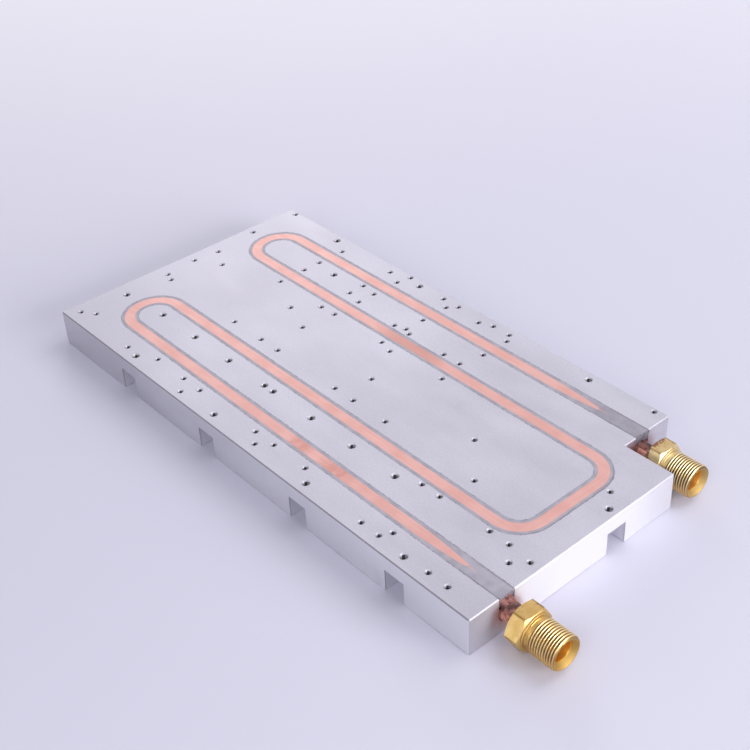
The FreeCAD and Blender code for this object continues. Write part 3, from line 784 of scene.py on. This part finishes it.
def waves(seed, count=10):
    """A smooth uneven surface: sum of waves round the tube and along it."""
    rng = random.Random(seed)
    parts = [
        (
            rng.randint(1, MOST_WAVES_ROUND),
            rng.uniform(0, WAVE_SHIFT),
            rng.uniform(-WAVE_SLANT, WAVE_SLANT),
        )
        for _ in range(count)
    ]

    def height(angle, along):
        total = sum(math.sin(rate * angle + shift + slant * along) for rate, shift, slant in parts)
        return total / count
    return height


def sleeve(name, seat, start, end, size, material, rows=22, count=84):
    """Closed lumpy sleeve on the tube; size(angle, share) gives its outer radius."""
    inner = TUBE_RADIUS - SLEEVE_SINK

    def profile(angle):
        pairs = []
        for row in range(rows):
            share = row / (rows - 1)
            outer = inner if row in (0, rows - 1) else max(size(angle, share), inner)
            pairs.append((start + (end - start) * share, outer))
        return pairs
    return revolved(name, seat, profile, material, count, closed=True, smooth_angle=80)


def braze_ring(name, seat, seed, material):
    """Braze metal that widens towards the hexagon."""
    bumps = waves(seed)
    length, thin, flare, lumps = 2.5 * MM, 0.2 * MM, 1.9 * MM, 0.35 * MM

    def size(angle, share):
        skin = thin + lumps * bumps(angle, share * 4 * MM)
        return TUBE_RADIUS + skin + flare * share ** 1.6
    return sleeve(name, seat, -length, 0.0, size, material)


def flux_crust(name, seat, seed, spread, height):
    """Burnt flux and filler heaped on top of the tube, from the resin's end to the braze."""
    bumps, grit = waves(seed), waves(seed + 1, 24)
    start, end = -HEX_INSET - RESIN_SETBACK, -0.6 * MM
    groove_end = -HEX_INSET + 0.1 * MM
    half_width = GROOVE_RADIUS - 0.06 * MM
    ceiling = PLATE_HEIGHT - EXIT_HEIGHT - 0.3 * MM
    skin_depth, skin_sink = 0.5 * MM, 0.03 * MM
    least_slope = 0.2

    def size(angle, share):
        upward, sideways = math.sin(angle), math.cos(angle)
        from_top = abs(math.atan2(sideways, upward))
        cover = max(0.0, 1 - (from_top / math.radians(spread)) ** 2)
        fall = 1 - 0.62 * share
        lump = 1 + 0.5 * bumps(angle, share * 10 * MM) + 0.25 * grit(angle * 2, share * 30 * MM)
        skin = skin_depth * max(0.0, bumps(angle + 2, share * 6 * MM) - 0.3) - skin_sink
        reach = TUBE_RADIUS + cover * fall * lump * height + skin
        # inside the groove it keeps within the groove's walls
        inside = start + (end - start) * share < groove_end
        if inside and abs(sideways) > least_slope:
            reach = min(reach, half_width / abs(sideways))
        return min(reach, ceiling / max(upward, least_slope))
    return sleeve(name, seat, start, end, size, FLUX, rows=44, count=108)


def collar_bead(name, seat, seed):
    """Thin dark bead where the tube leaves the plate's end face."""
    bumps = waves(seed)
    start, end = -HEX_INSET - 0.1 * MM, -HEX_INSET + 0.7 * MM
    thick, lumps = 0.62 * MM, 0.3 * MM

    def size(angle, share):
        bead = thick + lumps * bumps(angle, share * 3 * MM)
        return TUBE_RADIUS + bead * math.sin(math.pi * share)
    return sleeve(name, seat, start, end, size, FLUX, rows=9)


def resin_lip(name, seat, seed):
    """Torn end of the resin, between its cut end and the plate's end face."""
    tear = waves(seed, 14)
    back = -HEX_INSET - RESIN_SETBACK - 0.02 * MM
    half = GROOVE_RADIUS - 0.06 * MM
    top = PLATE_HEIGHT - EXIT_HEIGHT - 0.04 * MM
    low = TUBE_RADIUS - 0.6 * MM
    thick, overhang, least = 0.55 * MM, 0.75 * MM, 0.12 * MM
    coarse, fine = 0.9 * MM, 0.5 * MM
    columns, levels = 40, 6
    points = []
    for column in range(columns):
        across = -half + 2 * half * column / (columns - 1)
        lean = 0.55 + 0.45 * math.sin(across / half * 2.2)
        ring = [(back, across, top)]
        for level in range(levels):
            share = level / (levels - 1)
            rag = coarse * tear(across * 900, share * 4 * MM)
            rag += fine * tear(across * 2600 + 1, share * 10 * MM)
            front = back + max(thick + overhang * lean * (1 - share) + rag, least)
            ring.append((front, across, top + (low - top) * share))
        ring.append((back, across, low))
        points += [seat + Vector(spot) for spot in ring]
    size = levels + 2
    faces = ring_faces(columns, size)
    faces.append(list(range(size))[::-1])
    faces.append([(columns - 1) * size + corner for corner in range(size)])
    return mesh_piece(name, points, faces, RESIN, 40)


def end_work(label, seat, seed, spread, height, braze):
    """All that was left where the tube enters its fitting."""
    pieces = [
        (braze_ring(label + "_braze_look", seat, seed, braze), "braze"),
        (flux_crust(label + "_flux_look", seat, seed + 20, spread, height), "braze"),
        (collar_bead(label + "_bead_look", seat, seed + 40), "braze"),
        (resin_lip(label + "_lip_look", seat, seed + 60), "resin"),
    ]
    for piece, slot in pieces:
        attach(piece, "root")
    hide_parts(label + "_braze")


end_work("inlet", INLET_SEAT, 5, spread=52, height=4.2 * MM, braze=INLET_BRAZE)
end_work("outlet", OUTLET_SEAT, 11, spread=38, height=1.2 * MM, braze=OUTLET_BRAZE)


# Screw threads in the tapped holes

SMALL_PITCH = 0.5 * MM
LARGE_PITCH = 0.7 * MM
LARGE_HOLE = 1.45 * MM  # holes wider than this radius take the coarser thread
RIDGE_SHARE = 0.36  # height of a ridge against the pitch
LINER_TURNS = 7
LINER_GAP = 0.02 * MM


def tapped_holes():
    """Centre and radius of every hole, from the ring of points under its countersink."""
    level, level_gap = PLATE_HEIGHT - HOLE_RIM, 0.02 * MM
    edge_strip = 1.2 * MM
    widest_ring = 3.6 * MM
    least_radius, most_radius, least_points = 1.1 * MM, 1.8 * MM, 8
    spots = set()
    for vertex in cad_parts["base_plate"].data.vertices:
        x, y, z = vertex.co
        inset = min(RIGHT_END - abs(x), FAR_SIDE - abs(y))
        if abs(z - level) < level_gap and inset > edge_strip:
            spots.add((round(x, 6), round(y, 6)))
    rings = []
    for spot in sorted(spots):
        for ring in rings:
            if math.dist(ring[0], spot) < widest_ring:
                ring.append(spot)
                break
        else:
            rings.append([spot])
    found = []
    for ring in rings:
        x, y = [(min(values) + max(values)) / 2 for values in zip(*ring)]
        radius = max(math.dist((x, y), spot) for spot in ring)
        if least_radius < radius < most_radius and len(ring) >= least_points:
            found.append((x, y, radius))
    return found


def tapped_thread(material):
    """Geometry nodes: an inside thread for one hole, set at every point of the mesh."""
    growth = Growth("tapped thread", ("Hole Radius", "Ridge", "Pitch", "Depth"))
    given = growth.given
    share, turn = growth.shares()
    down = share * given["Depth"]
    angle = turn * FULL_TURN
    phase = (down / given["Pitch"] + turn).math("FRACT")
    reach = given["Hole Radius"] - (phase * 2.0 - 1.0).abs() * given["Ridge"]
    place = growth.node(
        "ShaderNodeCombineXYZ", {},
        reach * angle.math("COSINE"), reach * angle.math("SINE"), down * -1.0,
    )
    # every point keeps its direction from the hole's axis, for the finish
    spot = growth.node("GeometryNodeInputPosition", {})
    flat = growth.node("ShaderNodeVectorMath", {"operation": "MULTIPLY"}, spot, (1.0, 1.0, 0.0))
    aside = growth.node("ShaderNodeVectorMath", {"operation": "NORMALIZE"}, flat)
    kept = growth.node(
        "GeometryNodeStoreNamedAttribute", {"data_type": "FLOAT_VECTOR"},
        Geometry=growth.rolled(place), Name=WALL_SIDE, Value=aside,
    )
    spread = growth.node(
        "GeometryNodeInstanceOnPoints", {}, Points=given["Geometry"], Instance=kept
    )
    growth.ends_in(spread, material)
    return growth


def thread_liners():
    """Threads of all holes, one piece for each size of hole."""
    growth = tapped_thread(cut_threads())
    holes = tapped_holes()
    small = [hole for hole in holes if hole[2] <= LARGE_HOLE]
    large = [hole for hole in holes if hole[2] > LARGE_HOLE]
    for label, chosen, pitch in (("small", small, SMALL_PITCH), ("large", large, LARGE_PITCH)):
        mouths = bpy.data.meshes.new(label + " hole mouths")
        mouths.from_pydata([(x, y, PLATE_HEIGHT - HOLE_RIM) for x, y, _ in chosen], [], [])
        sizes = {
            "Hole Radius": chosen[0][2] - LINER_GAP,
            "Ridge": pitch * RIDGE_SHARE,
            "Pitch": pitch,
            "Depth": pitch * LINER_TURNS,
            "Steps Along": LINER_STEPS,
            "Steps Round": LINER_SIDES + 1,
        }
        piece = growth.grown(label + "_threads_look", sizes, mouths)
        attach(piece, "root")


thread_liners()


# Floor, light and camera

FLOOR_SIZE = 6
FLOOR_DROP = 0.2 * MM


def floor_finish():
    finish = Finish("pale floor", Roughness=0.7, Specular_IOR_Level=0.12)
    drift = finish.noise(1.6, 1.0, shift=(3, 1, 0))
    finish.colour = finish.mix(drift.rise(0.3, 0.7), shade(213, 212, 229), shade(218, 217, 233))
    # painted light: the floor is painted paler towards the back left
    finish.coat((finish.y * 0.55 - finish.x).rise(-0.1, 1.1), shade(246, 243, 254))
    # painted light: farther off towards the back left, the backdrop glows nearly white for the
    # camera
    camera_ray = finish.node("ShaderNodeLightPath", {}, output="Is Camera Ray")
    far_off = (finish.y * 0.7 - finish.x).rise(0.15, 1.25) * camera_ray * 0.9
    near = Signal(finish, finish.shader.outputs[0])
    glow = finish.node("ShaderNodeEmission", {}, shade(240, 238, 251))
    blend = finish.node("ShaderNodeMixShader", {}, far_off, near, glow)
    surface = finish.tree.nodes["Material Output"].inputs["Surface"]
    finish.tree.links.new(blend.socket, surface)
    return finish.done()


bpy.ops.mesh.primitive_plane_add(size=FLOOR_SIZE, location=(0, 0, -FLOOR_DROP))
floor = bpy.context.object
floor.name = "pale floor"
floor.data.materials.append(floor_finish())

# Soft boxes: name, place, point aimed at, width, height, power and colour
COOL_WHITE = (0.98, 0.98, 1.0)
SOFT_BOXES = (
    ("window side", (2.3, 0.5, 0.75), (0.1, 0, 0), 1.6, 0.96, 47, (1.0, 0.99, 1.0)),
    ("overhead", (0.3, 0.95, 1.4), (0, 0, 0), 1.2, 1.2, 10, COOL_WHITE),
    ("back wall", (-3.3, 2.3, 1.5), (0, 0, 0), 1.8, 1.2, 37, COOL_WHITE),
    ("front fill", (0.8, -1.3, 0.95), (0, 0, 0), 1.0, 0.8, 8.5, (1, 1, 1)),
    ("front wall", (-1.7, -2.1, 0.5), (0, 0, 0.02), 1.6, 1.0, 9, (1, 1, 1)),
)
for name, place, aim, width, height, power, colour in SOFT_BOXES:
    lamp = bpy.data.lights.new(name, "AREA")
    lamp.shape = "RECTANGLE"
    lamp.size, lamp.size_y = width, height
    lamp.energy = power
    lamp.color = colour
    holder = bpy.data.objects.new(name, lamp)
    holder.location = place
    holder.rotation_euler = (Vector(aim) - Vector(place)).to_track_quat("-Z", "Y").to_euler()
    bpy.context.scene.collection.objects.link(holder)

ROOM_TONE = (0.83, 0.82, 0.88, 1)
ROOM_LIGHT = 0.38
ROOM_SEEN = 0.85


def pale_room():
    """Even grey light from all round; seen direct or in metal it is brighter."""
    world = bpy.data.worlds.new("pale room")
    bpy.context.scene.world = world
    world.use_nodes = True
    room = Nodes(world.node_tree)
    surround = room.tree.nodes["Background"]
    surround.inputs["Color"].default_value = ROOM_TONE
    camera_ray, glossy_ray, through_ray = [
        room.node("ShaderNodeLightPath", {}, output=f"Is {kind} Ray")
        for kind in ("Camera", "Glossy", "Transmission")
    ]
    seen = camera_ray.high(glossy_ray).high(through_ray)
    strength = seen * (ROOM_SEEN - ROOM_LIGHT) + ROOM_LIGHT
    room.tree.links.new(strength.socket, surround.inputs["Strength"])


pale_room()

# Camera, worked out from the corners of the plate in the photo
CAMERA_PLACE = Vector((416.979, -335.48, 406.218)) * MM
CAMERA_FORWARD = Vector((-0.62399, 0.51489, -0.58781))
CAMERA_RIGHT = Vector((0.66001, 0.74998, -0.04368))
FOCAL_PIXELS = 1315.69
FRAME_PIXELS = 750
SENSOR_WIDTH = 36

lens = bpy.data.cameras.new("photo camera")
lens.sensor_fit = "HORIZONTAL"
lens.sensor_width = SENSOR_WIDTH
lens.lens = FOCAL_PIXELS / FRAME_PIXELS * SENSOR_WIDTH
lens.clip_start = 0.01
lens.clip_end = 50
camera = bpy.data.objects.new("photo camera", lens)
back = -CAMERA_FORWARD.normalized()
up = back.cross(CAMERA_RIGHT).normalized()
right = up.cross(back).normalized()
turn = Matrix((right, up, back)).transposed().to_4x4()
camera.matrix_world = Matrix.Translation(CAMERA_PLACE) @ turn
bpy.context.scene.collection.objects.link(camera)
bpy.context.scene.camera = camera
bpy.context.scene.view_settings.view_transform = "Standard"
